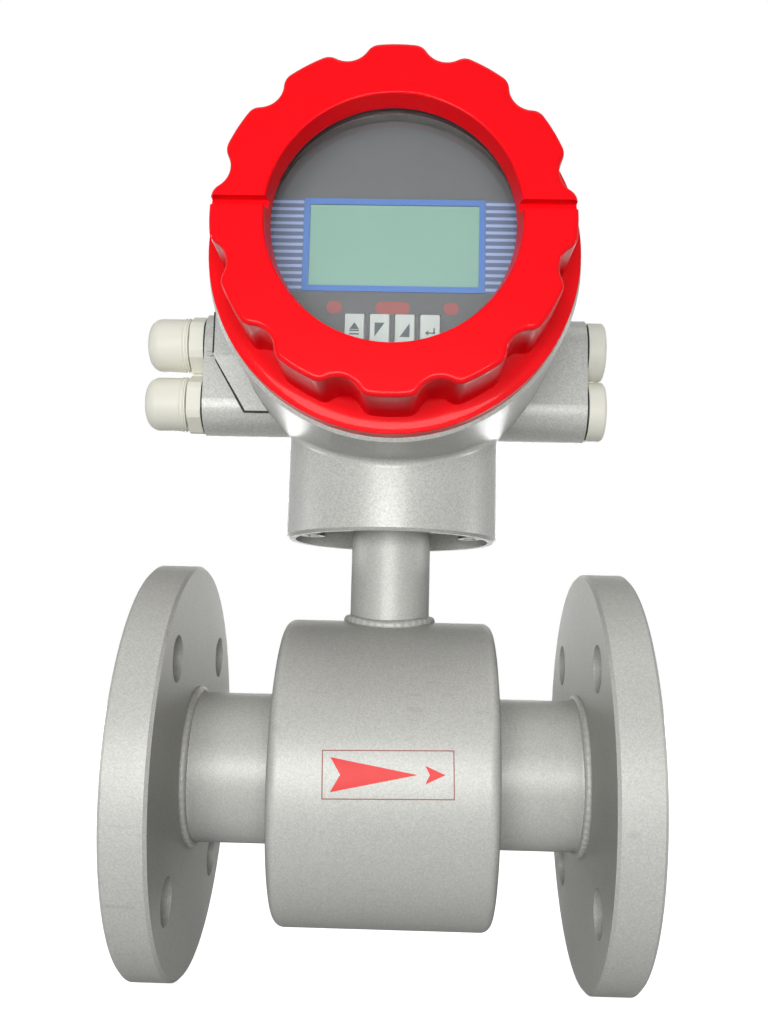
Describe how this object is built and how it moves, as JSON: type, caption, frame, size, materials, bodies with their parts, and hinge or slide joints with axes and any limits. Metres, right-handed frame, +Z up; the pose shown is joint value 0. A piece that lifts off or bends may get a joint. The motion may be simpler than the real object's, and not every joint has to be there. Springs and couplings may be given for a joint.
{
  "type": "electromagnetic flow meter",
  "caption": "Flanged electromagnetic flow meter: lined tube, coil housing and neck carrying a round display head with lobed screw covers and cable glands.",
  "frame": {"origin": "centre of the flow bore, midway between the two sealing faces", "axes": "+X along the flow, +Y to the rear of the head, +Z up the neck"},
  "size_m": [0.2068, 0.2093, 0.3393],
  "materials": {
    "painted_steel": "satin silver-grey hammered paint on steel",
    "painted_casting": "satin silver-grey paint on cast aluminium",
    "red_enamel": "glossy red enamel on cast aluminium",
    "stainless": "machined stainless steel",
    "zinc_steel": "bright zinc-plated steel",
    "core_iron": "bare soft iron",
    "copper": "enamelled copper winding",
    "lining": "white fluoroplastic",
    "rubber": "black rubber",
    "glass": "toughened flat glass",
    "black_plastic": "black moulded plastic",
    "panel": "dark grey printed panel",
    "frame_blue": "blue printed frame",
    "screen": "grey-green reflective display",
    "key_white": "white moulded keys",
    "circuit_board": "green circuit board",
    "ivory": "ivory nylon",
    "terminal_plastic": "green terminal plastic"
  },
  "bodies": {
    "meter": {"measuring_tube": "painted_steel", "liner": "lining", "inlet_flange": "painted_steel", "outlet_flange": "painted_steel", "coil_housing": "painted_steel", "upper_pole_shoe": "core_iron", "lower_pole_shoe": "core_iron", "upper_coil": "copper", "lower_coil": "copper", "return_yoke": "core_iron", "front_electrode": "stainless", "rear_electrode": "stainless", "front_electrode_sleeve": "lining", "rear_electrode_sleeve": "lining", "front_electrode_nut": "stainless", "rear_electrode_nut": "stainless", "neck_tube": "painted_steel", "neck_flange": "painted_steel", "neck_gasket": "rubber", "neck_bolts": "zinc_steel", "neck_washers": "zinc_steel", "converter_housing": "painted_casting", "display_panel": "panel", "screen_frame": "frame_blue", "display_screen": "screen", "display_board": "circuit_board", "main_board": "circuit_board", "panel_posts": "stainless", "display_board_posts": "stainless", "main_board_posts": "stainless", "terminal_strip": "terminal_plastic", "terminal_screws": "zinc_steel", "side_plate": "painted_casting", "side_plate_gasket": "rubber", "earth_screw": "zinc_steel", "upper_gland_washer": "rubber", "upper_gland_body": "ivory", "lower_gland_washer": "rubber", "lower_gland_body": "ivory"},
    "glazing": {"window_glass": "glass", "glass_gasket": "rubber", "glass_retainer": "black_plastic", "front_seal_ring": "rubber"},
    "front_cover": {"front_cover": "red_enamel"},
    "rear_seal": {"rear_seal_ring": "rubber"},
    "rear_cover": {"rear_cover": "red_enamel"},
    "menu_key": {"menu_key": "key_white"},
    "up_key": {"up_key": "key_white"},
    "down_key": {"down_key": "key_white"},
    "enter_key": {"enter_key": "key_white"},
    "upper_insert": {"upper_gland_insert": "rubber"},
    "upper_gland_nut": {"upper_gland_nut": "ivory"},
    "upper_plug_washer": {"upper_plug_washer": "rubber"},
    "upper_plug": {"upper_plug": "ivory"},
    "lower_insert": {"lower_gland_insert": "rubber"},
    "lower_gland_nut": {"lower_gland_nut": "ivory"},
    "lower_plug_washer": {"lower_plug_washer": "rubber"},
    "lower_plug": {"lower_plug": "ivory"}
  },
  "joints": [
    {"name": "front_cover_travel", "type": "slide", "parent": "meter", "child": "glazing", "axis": [0, -1, 0], "range_m": [0, 0.012]},
    {"name": "front_cover_turn", "type": "hinge", "parent": "glazing", "child": "front_cover", "pos_m": [0, -0.1, 0.1895], "axis": [0, -1, 0], "range_deg": [0, 2160]},
    {"name": "rear_cover_travel", "type": "slide", "parent": "meter", "child": "rear_seal", "axis": [0, 1, 0], "range_m": [0, 0.012]},
    {"name": "rear_cover_turn", "type": "hinge", "parent": "rear_seal", "child": "rear_cover", "pos_m": [0, 0.075, 0.1895], "axis": [0, 1, 0], "range_deg": [0, 2160]},
    {"name": "upper_gland_nut_travel", "type": "slide", "parent": "meter", "child": "upper_insert", "axis": [-1, 0, 0], "range_m": [0, 0.0075]},
    {"name": "upper_gland_nut_turn", "type": "hinge", "parent": "upper_insert", "child": "upper_gland_nut", "pos_m": [-0.097, 0, 0.1791], "axis": [-1, 0, 0], "range_deg": [0, 1800]},
    {"name": "upper_plug_travel", "type": "slide", "parent": "meter", "child": "upper_plug_washer", "axis": [1, 0, 0], "range_m": [0, 0.009]},
    {"name": "upper_plug_turn", "type": "hinge", "parent": "upper_plug_washer", "child": "upper_plug", "pos_m": [0.085, 0, 0.1791], "axis": [1, 0, 0], "range_deg": [0, 2160]},
    {"name": "lower_gland_nut_travel", "type": "slide", "parent": "meter", "child": "lower_insert", "axis": [-1, 0, 0], "range_m": [0, 0.0075]},
    {"name": "lower_gland_nut_turn", "type": "hinge", "parent": "lower_insert", "child": "lower_gland_nut", "pos_m": [-0.097, 0, 0.1529], "axis": [-1, 0, 0], "range_deg": [0, 1800]},
    {"name": "lower_plug_travel", "type": "slide", "parent": "meter", "child": "lower_plug_washer", "axis": [1, 0, 0], "range_m": [0, 0.009]},
    {"name": "lower_plug_turn", "type": "hinge", "parent": "lower_plug_washer", "child": "lower_plug", "pos_m": [0.085, 0, 0.1529], "axis": [1, 0, 0], "range_deg": [0, 2160]},
    {"name": "menu_key_press", "type": "slide", "parent": "meter", "child": "menu_key", "axis": [0, 1, 0], "range_m": [0, 0.0007], "stiffness_N_per_m": 900},
    {"name": "up_key_press", "type": "slide", "parent": "meter", "child": "up_key", "axis": [0, 1, 0], "range_m": [0, 0.0007], "stiffness_N_per_m": 900},
    {"name": "down_key_press", "type": "slide", "parent": "meter", "child": "down_key", "axis": [0, 1, 0], "range_m": [0, 0.0007], "stiffness_N_per_m": 900},
    {"name": "enter_key_press", "type": "slide", "parent": "meter", "child": "enter_key", "axis": [0, 1, 0], "range_m": [0, 0.0007], "stiffness_N_per_m": 900}
  ],
  "couplings": [
    {"joint": "front_cover_travel", "follows": "front_cover_turn", "m_per_rad": 0.00031831},
    {"joint": "rear_cover_travel", "follows": "rear_cover_turn", "m_per_rad": 0.00031831},
    {"joint": "upper_gland_nut_turn", "follows": "upper_gland_nut_travel", "rad_per_m": 4188.8},
    {"joint": "upper_plug_turn", "follows": "upper_plug_travel", "rad_per_m": 4188.8},
    {"joint": "lower_gland_nut_turn", "follows": "lower_gland_nut_travel", "rad_per_m": 4188.8},
    {"joint": "lower_plug_turn", "follows": "lower_plug_travel", "rad_per_m": 4188.8}
  ]
}
